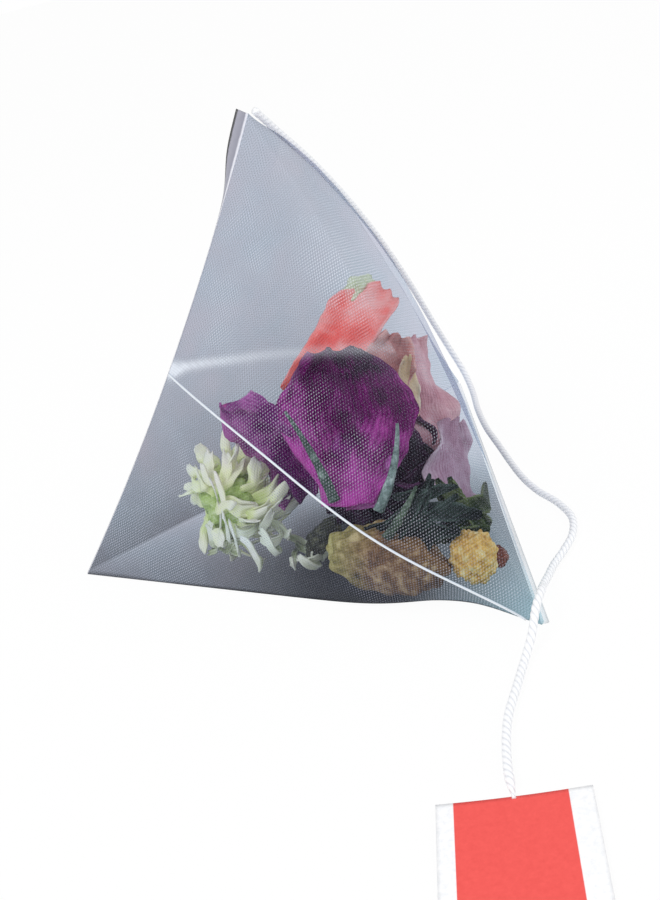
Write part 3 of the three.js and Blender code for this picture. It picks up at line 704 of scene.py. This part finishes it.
def petal_shape(
    at, lengthways, facing, size, cup=0.0, curl=0.0, ruffle=0.0, point=0.55, broad=1.0, roll=0.12, wave=0.5,
    crease=0.3, pleat=0.0, seed=1,
):
    """One petal: x = u half-width sin(pi v^broad)^point, y along its length, and a lift of cup x^2,
    curl y^2, a ruffle, pleats that fan out along it, rims that roll over beyond 0.7 of the half-width, an
    edge wave, and dry creases. Its map is u and v."""
    length, width = np.asarray(size) * EDGE
    u, v = np.meshgrid(np.linspace(-1, 1, 45), np.linspace(0, 1, 55))
    ragged = 1 + 0.02 * np.sin(v * 19 + seed) + 0.012 * np.sin(v * 47 + 2 * seed)
    x = u * width / 2 * np.sin(math.pi * (0.1 + 0.82 * v**broad)) ** point * ragged
    y = (v - 0.5) * length * (1 - 0.03 * np.abs(u)) + 0.3 * np.sin(u * 7 + seed) * v
    lift = cup * width * (2 * x / width) ** 2 + curl * length * (2 * y / length) ** 2
    lift += ruffle * width * np.sin(10 * x / width + 7 * y / length)
    lift += pleat * np.sin(6.5 * u + 1.2 * np.sin(4 * v + seed)) * np.minimum(v * 2, 1)
    lift += roll * width * np.maximum(np.abs(u) - 0.7, 0) / 0.3 * np.sin(v * 9 + seed)
    lift += wave * (np.abs(u) ** 3 * np.sin(v * 17 + seed * 1.7 + u * 2) + v**6 * np.sin(u * 8 + seed))
    lift += crinkle(x, y, seed, 5.0, crease) + crinkle(x, y, seed + 50, 1.8, crease * 0.25)
    surface = in_bag(at) + np.stack([x, y, lift], -1) @ frame_of(lengthways, facing)
    return closed_slab(keep_inside(surface, HELD_GAP), PETAL_THICKNESS, np.stack([(u + 1) / 2, v], -1))


def dried_petal(name, stops, drift=(0.0, 0.0), vein=0.12):
    """A dried petal: a thin matte skin whose tone follows the same noise as its relief, darker in its
    creases as painted shade, with fine veins that fan out along it and a paler, papery rim. drift says
    how much paler it gets from side to side and from foot to tip."""
    material, tree, shader = new_material(name, Roughness=0.75, Sheen_Weight=0.04, Specular_IOR_Level=0.12)
    u, v = map_place(tree)
    spot = object_place(tree)
    cloud = noise(tree, spot, 3.5, 5, 0.6)
    bend = noise(tree, spot, 5.0, 2)
    fan = maths(tree, "MULTIPLY_ADD", bend, 13.0, maths(tree, "MULTIPLY", u, 88.0))
    veins = maths(tree, "ABSOLUTE", maths(tree, "SINE", fan))
    rim = maths(tree, "POWER", maths(tree, "ABSOLUTE", maths(tree, "MULTIPLY_ADD", u, 2.0, -1.0)), 5.0)
    start = -0.1 - (drift[0] + drift[1]) / 2
    # the cloud noise also raises the relief: painted shade in its creases, over the petal's random tone
    tone = weighted(tree, start, (cloud, 1.1), (rim, 0.18), (veins, vein), (u, drift[0]), (v, drift[1]))
    tree.links.new(ramp(tree, tone, list(zip((0.2, 0.5, 0.85), stops))), shader.inputs["Base Color"])
    add_bump(tree, shader, weighted(tree, 0.0, (veins, 0.4), (cloud, 0.6)), 0.6, 0.2)
    return material


def dried_skin(name, stops, grain_mm, near_end=None):
    """A dried fruit, bud or stem: wrinkled skin of a random tone, with painted shade in its hollows and
    painted highlights on its ridges. near_end gives the colours at the start of its map, for a fruit that is
    greener at one end."""
    material, tree, shader = new_material(name, Roughness=0.65)
    spot = object_place(tree)
    fine = noise(tree, spot, grain_mm, 5, 0.65)
    # coarse noise: random tone; the fine noise also drives the relief, giving painted shade in hollows and
    # painted highlight on ridges
    tone = weighted(tree, 0.0, (noise(tree, spot, grain_mm * 2.2, 4, 0.6), 0.6), (fine, 0.4))
    skin = ramp(tree, tone, list(zip((0.32, 0.5, 0.68), stops)))
    if near_end:
        share = add_node(tree, "MapRange", Value=map_place(tree)[0], n1=0.05, n2=0.5).outputs[0]
        skin = mixed(tree, share, ramp(tree, tone, list(zip((0.32, 0.5, 0.68), near_end))), skin)
    tree.links.new(skin, shader.inputs["Base Color"])
    add_bump(tree, shader, fine, 0.9, 0.3)
    return material


# Each petal's middle, the ways it runs and faces, its length and width, then its shape and its look
PETALS = {
    "purple_petal": (
        ((0.034, -0.192, 0.282), (0.14, 0.3, 0.93), (-0.25, -0.9, 0.3), (0.285, 0.262)),
        dict(cup=-0.1, curl=0.07, ruffle=0.023, broad=1.3, point=0.85, roll=0.1,
             crease=0.5, pleat=1.1, seed=3),
        # its drift makes it paler towards its foot and darker towards its tip: a painted highlight on its
        # lower part
        dict(stops=("#270322", "#630453", "#c04ca4"), drift=(-0.15, -0.5)),
    ),
    "violet_petal": (
        ((-0.112, -0.118, 0.24), (0.36, 0, -0.93), (-0.5, -0.8, 0.2), (0.245, 0.15)),
        dict(cup=-0.13, curl=0.07, ruffle=0.03, crease=0.5, pleat=0.9, point=0.45, seed=5),
        dict(stops=("#2a052e", "#66155f", "#b96aa6"), drift=(0.15, -0.25)),
    ),
    "coral_petal": (
        ((0.058, -0.028, 0.382), (0.72, 0.42, 0.4), (-0.3, -0.75, 0.55), (0.285, 0.12)),
        dict(cup=0.12, curl=-0.055, ruffle=0.05, broad=1.9, point=0.6, wave=0.15, pleat=0.3, seed=7),
        dict(stops=("#f0443c", "#ff776c", "#ffb6ae"), drift=(0.0, 0.3)),
    ),
    # a paler copy of the purple petal's colours on the purple petal's lower tip: a painted highlight
    "magenta_petal": (
        ((0.04, -0.214, 0.2), (0.1, 0.25, 0.95), (-0.3, -0.9, 0.3), (0.14, 0.13)),
        dict(cup=-0.12, curl=0.07, broad=1.5, point=0.8, pleat=0.3, seed=9),
        dict(stops=("#30072a", "#761a69", "#c46ab0"), drift=(0.0, -0.3)),
    ),
    "mauve_petal": (
        ((0.19, -0.01, 0.215), (-0.1, 0.35, 0.9), (0.75, -0.6, 0.3), (0.243, 0.18)),
        dict(cup=-0.11, curl=0.07, ruffle=0.03, seed=11),
        dict(stops=("#8c5462", "#cf949c", "#f4cccc"), drift=(0.1, 0.3)),
    ),
    "pink_petal": (
        ((0.22, -0.145, 0.112), (0.05, 0.55, 0.8), (0.85, -0.45, 0.3), (0.2, 0.143)),
        dict(cup=-0.12, curl=0.057, seed=13),
        dict(stops=("#805666", "#b48a9c", "#dcc2cc")),
    ),
    "brown_petal": (
        ((0.135, -0.055, 0.318), (0.5, 0.2, 0.8), (0.1, -0.9, 0.4), (0.129, 0.1)),
        dict(cup=0.14, curl=0.09, seed=15),
        dict(stops=("#84464a", "#cc827a", "#f2c6ba")),
    ),
    "yellow_strip": (
        ((0.166, -0.075, 0.277), (0.1, 0.15, 0.98), (0.4, -0.85, 0.3), (0.12, 0.04)),
        dict(curl=0.075, wave=0.2, crease=0.1, seed=17),
        dict(stops=("#c6a676", "#f0d2a2", "#fff2da")),
    ),
}


def lump_shape(at, lengthways, facing, size, bumps, height, spread, seed, around=96, upward=62):
    """A closed lumpy body: an ellipsoid whose radius rises by height exp(-(angle / spread)^2) about each of
    many bumps spread by the golden angle, plus fine random waves. Its map is the shares along and up it."""
    aa, bb = np.meshgrid(full_turn(around), np.linspace(0, math.pi, upward + 2)[1:-1])
    unit = np.stack([np.sin(bb) * np.cos(aa), np.sin(bb) * np.sin(aa), np.cos(bb)], -1)
    rng = np.random.default_rng(seed)
    centres = units(golden_directions(bumps, 2.0) + rng.normal(0, 0.1, (bumps, 3)))
    gap = np.arccos(np.clip(unit @ centres.T, -1, 1))
    radius = 1 + height * (np.exp(-((gap / spread) ** 2)).max(-1) - 0.5)
    radius += 0.02 * np.sin(unit @ rng.normal(0, 11, (3, 10)) + rng.uniform(0, 6, 10)).sum(-1)
    points = unit * radius[..., None] * (np.asarray(size) * EDGE / 2)
    points = keep_inside(in_bag(at) + points @ frame_of(lengthways, facing), 0.3)
    return closed_rings(points[::-1], unit[::-1, :, 1:] / 2 + 0.5)


def golden_directions(count, spread):
    """count directions spread evenly by the golden angle from the pole at z = 1 down to z = 1 - spread."""
    k = np.arange(count)
    z = 1 - spread * (k + 0.5) / count
    turn = k * math.pi * (3 - math.sqrt(5))
    flat = np.sqrt(1 - z * z)
    return np.stack([flat * np.cos(turn), flat * np.sin(turn), z], -1)


# Each lump's middle, its own y and z axes and its size, then its shape and its look
LUMPS = {
    "dried_fruit": (
        ((0.054, -0.303, 0.06), (0.85, -0.5, -0.12), (0, 0, 1), (0.135, 0.225, 0.114)),
        dict(bumps=48, height=0.13, spread=0.2, seed=2, around=128, upward=90),
        dict(stops=("#382212", "#8a5e36", "#dcb583"), near_end=("#625a2e", "#b6aa60", "#eadf9e"),
             grain_mm=0.8),
    ),
    "yellow_bud": (
        ((0.207, -0.345, 0.052), (0, 1, 0), (0, 0, 1), (0.08, 0.088, 0.092)),
        dict(bumps=34, height=0.15, spread=0.25, seed=3),
        dict(stops=("#ac6c26", "#f4bb62", "#ffedbc"), grain_mm=0.6),
    ),
    "berry": (
        ((0.246, -0.333, 0.033), (0, 1, 0), (0, 0, 1), (0.042, 0.042, 0.04)),
        dict(bumps=14, height=0.12, spread=0.35, seed=4),
        dict(stops=("#4a1c12", "#7e3a29", "#a5624d"), grain_mm=0.5),
    ),
    "brown_calyx": (
        ((-0.056, -0.215, 0.08), (0.7, -0.2, 0.7), (0.2, -0.9, 0.1), (0.045, 0.1, 0.045)),
        dict(bumps=9, height=0.22, spread=0.45, seed=5),
        dict(stops=("#171911", "#3a3c2e", "#727358"), grain_mm=0.5),
    ),
    "green_calyx": (
        ((0.118, 0.07, 0.437), (0, 1, 0), (0, 0, 1), (0.063, 0.082, 0.05)),
        dict(bumps=12, height=0.3, spread=0.35, seed=6),
        dict(stops=("#b4bb84", "#d3d8ae", "#eceed4"), grain_mm=0.6),
    ),
}


def build_rose_head():
    """The rose head: a dark lumpy core wrapped in cupped petals, spread over it by the golden angle."""
    at, axes = (0.075, -0.075, 0.118), frame_of((0.9, -0.4, 0.1), (0, -0.3, 1))
    skin = dict(bumps=20, height=0.12, spread=0.35, seed=1)
    parts = [lump_shape(at, axes[1], axes[2], (0.19, 0.2, 0.185), **skin)]
    for k, out in enumerate(golden_directions(16, 1.9) @ axes):
        place = np.asarray(at) + out * 0.1
        lengthways = np.cross(out, [0.3, 0.9, 0.2]) + out * 0.15
        parts.append(petal_shape(place, lengthways, out, (0.15, 0.15), cup=-0.16, curl=-0.1, seed=30 + k))
    material = dried_petal("dried_rose", ("#0c020a", "#280a23", "#5c2f53"))
    make_piece("rose_head_petals", "rose_head", merged(parts), material)


def ribbon_shape(root, out, facing, length, width, curl, twist, seed=0.0):
    """One ribbon petal, y = length sin(curl t) / curl, z = length (1 - cos(curl t)) / curl, its width in
    waves, its sides cupped, and turned by twist from foot to tip. Its map is u and t."""
    u, t = np.meshgrid(np.linspace(-1, 1, 9), np.linspace(0, 1, 25))
    half = width / 2 * (0.45 + 0.9 * t - 0.85 * t**5) * (1 + 0.12 * np.sin(t * 17 + seed) * u)
    turn = twist * t
    lift = u * half * np.sin(turn) + 0.22 * u**2 * width * (1 + np.sin(t * 8 + seed))
    y = length * np.sin(curl * t) / curl
    z = length * (1 - np.cos(curl * t)) / curl + lift + 0.2 * np.sin(t * 13 + seed)
    x = u * half * np.cos(turn) + 0.5 * np.sin(t * 5 + seed)
    surface = root + np.stack([x, y, z], -1) @ frame_of(out, facing)
    return closed_slab(keep_inside(surface, 0.4), RIBBON_THICKNESS, np.stack([(u + 1) / 2, t], -1))


def dried_ribbon(name, stops):
    """Dried chrysanthemum petals: papery, finely ribbed, green at the foot and cream white at the tip."""
    material, tree, shader = new_material(name, Roughness=0.7, Sheen_Weight=0.5)
    u, t = map_place(tree)
    ribs = maths(tree, "ABSOLUTE", maths(tree, "SINE", maths(tree, "MULTIPLY", u, 16.0)))
    cloud = noise(tree, object_place(tree), 1.6, 4)
    tone = weighted(tree, -0.24, (t, 0.72), (cloud, 0.75), (ribs, 0.08))
    tree.links.new(ramp(tree, tone, list(zip((0.05, 0.3, 0.52, 0.85), stops))), shader.inputs["Base Color"])
    add_bump(tree, shader, ribs, 0.3, 0.08)
    return material


def build_flower():
    """The pale flower head: a lumpy green core with ribbon petals spread over it by the golden angle."""
    at, axes = (-0.222, -0.08, 0.132), frame_of((0.3, 0.1, 1), (-0.6, -0.78, 0.25))
    rng = np.random.default_rng(12)
    count = 92
    spread = units(golden_directions(count, 1.6) + rng.normal(0, 0.2, (count, 3)))
    parts = []
    for k, out in enumerate(spread):
        facing = np.cross([-out[1], out[0], 0.6], out) @ axes + rng.normal(0, 0.35, 3)
        length = rng.uniform(5.5, 9.2) * (0.7 + 0.35 * k / count)
        bend = rng.uniform(0.8, 3.2), rng.uniform(-1.4, 1.4), rng.uniform(0, 6)
        root = in_bag(at) + out @ axes * 2.8
        parts.append(ribbon_shape(root, out @ axes, facing, length, rng.uniform(1.3, 2.5), *bend))
    stops = ("#a8c266", "#dfee9a", "#f8fcc6", "#fffde6")
    make_piece("pale_flower_petals", "pale_flower", merged(parts), dried_ribbon("dried_flower", stops))
    skin = dict(bumps=24, height=0.2, spread=0.3, seed=8, around=64, upward=40)
    core = lump_shape(at, axes[1], axes[2], (0.12, 0.12, 0.11), **skin)
    green = dried_skin("dried_flower_core", ("#84a04a", "#bcd47c", "#e8f2bc"), 0.6)
    make_piece("pale_flower_core", "pale_flower", core, green)


# Middle, way along, way it faces, length, number of ribbons and colours
CURLS = {
    "white_curl": ((-0.125, -0.165, 0.062), (0.7, -0.45, -0.5), (-0.45, -0.7, 0.55), 0.171, 12,
                   ("#5f6652", "#a9b08c", "#d6dbbd", "#f2f4dd")),
    "grey_curl": ((-0.225, -0.15, 0.046), (0.8, -0.4, -0.1), (-0.2, -0.6, 0.75), 0.129, 6,
                  ("#87936a", "#c5cda4", "#e9edd2", "#fdfdf0")),
}


def build_curls():
    """Loose curls: a few ribbons side by side, each bent most of the way round on itself."""
    for name, (at, lengthways, facing, size, count, stops) in CURLS.items():
        axes = frame_of(lengthways, facing)
        rng = np.random.default_rng(count)
        parts = []
        for k in range(count):
            shift = rng.uniform(-0.5, 0.5, 3) * [0.07, 0.8, 0.04] * size * EDGE
            place = in_bag(at) + shift @ axes - axes[1] * 1.5
            out = axes[1] + rng.normal(0, 0.7, 3)
            bend = rng.uniform(1.5, 4.2), rng.uniform(-1.2, 1.2), rng.uniform(0, 6)
            tilt = axes[2] + rng.normal(0, 0.4, 3)
            parts.append(ribbon_shape(place, out, tilt, rng.uniform(5, 9), 1.3, *bend))
        make_piece(name + "_dried", name, merged(parts), dried_ribbon("dried_" + name, stops))


# Middle, way along, way it faces, length, number of blades and colours
LEAVES = {
    "dark_leaf": ((0.135, -0.318, 0.125), (0.75, -0.2, 0.55), (-0.2, -0.85, 0.4), 0.16, 12,
                  ("#070a09", "#171d1a", "#4c584f")),
    "green_leaf": ((0.205, -0.275, 0.115), (-0.5, 0.1, 0.85), (0.3, -0.85, 0.4), 0.14, 9,
                   ("#0d150d", "#2a3820", "#7b8356")),
}


def build_leaves():
    """Bits of leaf: slender pointed blades that cross each other, the first one the longest."""
    for name, (at, lengthways, facing, size, count, stops) in LEAVES.items():
        axes = frame_of(lengthways, facing)
        rng = np.random.default_rng(count)
        parts = []
        for k in range(count):
            shift = rng.uniform(-0.5, 0.5, 3) * [0.6, 0.6, 0.12] * size * (k > 0)
            along = axes[1] + axes[0] * rng.normal(0, 0.8) * (k > 0)
            blade = (size * (1 if k == 0 else rng.uniform(0.5, 0.9)), rng.uniform(0.012, 0.036))
            look = dict(curl=rng.uniform(-0.1, 0.1), cup=0.2, point=0.9, wave=0.15, crease=0.15, seed=60 + k)
            tilt = axes[2] + rng.normal(0, 0.3, 3)
            parts.append(petal_shape(np.asarray(at) + shift @ axes, along, tilt, blade, **look))
        make_piece(name + "_dried", name, merged(parts), dried_petal("dried_" + name, stops))


# Upper end, lower end, bend and colours
STEMS = {
    "long_stem": ((-0.06, -0.185, 0.335), (-0.012, -0.25, 0.17), (0.014, -0.014, 0),
                  ("#1c2620", "#46564a", "#9dac9c")),
    # the middle stem's paler colours paint a highlight along it
    "middle_stem": ((0.13, -0.235, 0.285), (0.062, -0.285, 0.15), (0.02, -0.009, 0),
                    ("#37433e", "#7b8c82", "#cfd8ce")),
    "short_stem": ((0.138, -0.318, 0.2), (0.066, -0.324, 0.115), (0.011, 0.006, 0),
                   ("#1c241e", "#45533f", "#8f9c82")),
}


def build_stems():
    """Stems: an oval section with five low ribs carried along a bent line, wider towards the lower end."""
    for name, (start, end, bend, stops) in STEMS.items():
        a, c = in_bag(start), in_bag(end)
        t = np.linspace(0, 1, 40)[:, None]
        path = a * (1 - t) ** 2 + 2 * ((a + c) / 2 + np.asarray(bend) * EDGE) * t * (1 - t) + c * t**2
        path = keep_inside(path, 0.9)
        step = units(np.gradient(path, axis=0))
        side = units(np.cross(step, [0, 1, 0.2]))
        angle = full_turn(20)[None]
        radius = (0.16 + 0.5 * t) * (1 + 0.08 * np.cos(5 * angle)) * (1 + 0.05 * np.sin(t * 19))
        profile = np.stack([1.15 * radius * np.cos(angle), 0.7 * radius * np.sin(angle)], -1)
        maps = np.stack(np.broadcast_arrays(t, angle), -1)
        shape = carried(path, side, np.cross(side, step), profile, maps)
        make_piece(name + "_dried", name, shape, dried_skin("dried_" + name, stops, 0.7))


def build_contents():
    """All the dried pieces."""
    for name, (place, shape, look) in PETALS.items():
        make_piece(name + "_dried", name, petal_shape(*place, **shape), dried_petal("dried_" + name, **look))
    for name, (place, shape, look) in LUMPS.items():
        make_piece(name + "_dried", name, lump_shape(*place, **shape), dried_skin("dried_" + name, **look))
    build_rose_head()
    build_flower()
    build_curls()
    build_leaves()
    build_stems()


# Stage

FLOOR_DEPTH = 0.1  # below the bag's base, so that the two don't coincide
FLOOR_REACH = 3.0  # in metres


def add_floor():
    """A plain pale floor. The camera sees it nearly white, and it keeps the object's soft shadow."""
    material = bpy.data.materials.new("pale_floor")
    tree = empty_tree(material)
    diffuse = add_node(tree, "BsdfDiffuse", Color=colour("#f4f4f4"))
    glow = add_node(tree, "Emission", Color=colour("#ffffff"), Strength=1.0)
    path = add_node(tree, "LightPath")
    seen = maths(tree, "MAXIMUM", path.outputs["Is Camera Ray"], path.outputs["Is Glossy Ray"])
    seen = maths(tree, "MAXIMUM", seen, path.outputs["Is Transmission Ray"])
    share = maths(tree, "MULTIPLY", seen, 0.95)
    mix = add_node(tree, "MixShader", Fac=share, n1=diffuse.outputs[0], n2=glow.outputs[0])
    add_node(tree, "OutputMaterial", Surface=mix.outputs[0])
    mesh = bpy.data.meshes.new("floor")
    far, low = FLOOR_REACH, -FLOOR_DEPTH * MM
    corners = [(-far, -far, low), (far, -far, low), (far, far, low), (-far, far, low)]
    mesh.from_pydata(corners, [], [(0, 1, 2, 3)])
    mesh.materials.append(material)
    add_object("floor", mesh)


def add_world():
    """A plain soft world: pale light, and white where the camera sees it."""
    world = bpy.data.worlds.new("studio")
    bpy.context.scene.world = world
    tree = empty_tree(world)
    light = add_node(tree, "Background", Color=colour("#ffffff"), Strength=0.75)
    seen = add_node(tree, "Background", Color=colour("#ffffff"), Strength=1.0)
    share = add_node(tree, "LightPath").outputs["Is Camera Ray"]
    mix = add_node(tree, "MixShader", Fac=share, n1=light.outputs[0], n2=seen.outputs[0])
    add_node(tree, "OutputWorld", Surface=mix.outputs[0])


add_camera()
string, string_path, string_length = build_string()
tag = build_tag()
cloth = build_cloth()
build_seals()
build_contents()
add_floor()
add_world()
add_lamp("key", (-180, -220, 320), 200, 0.6)
add_lamp("fill", (260, -120, 200), 220, 0.25)
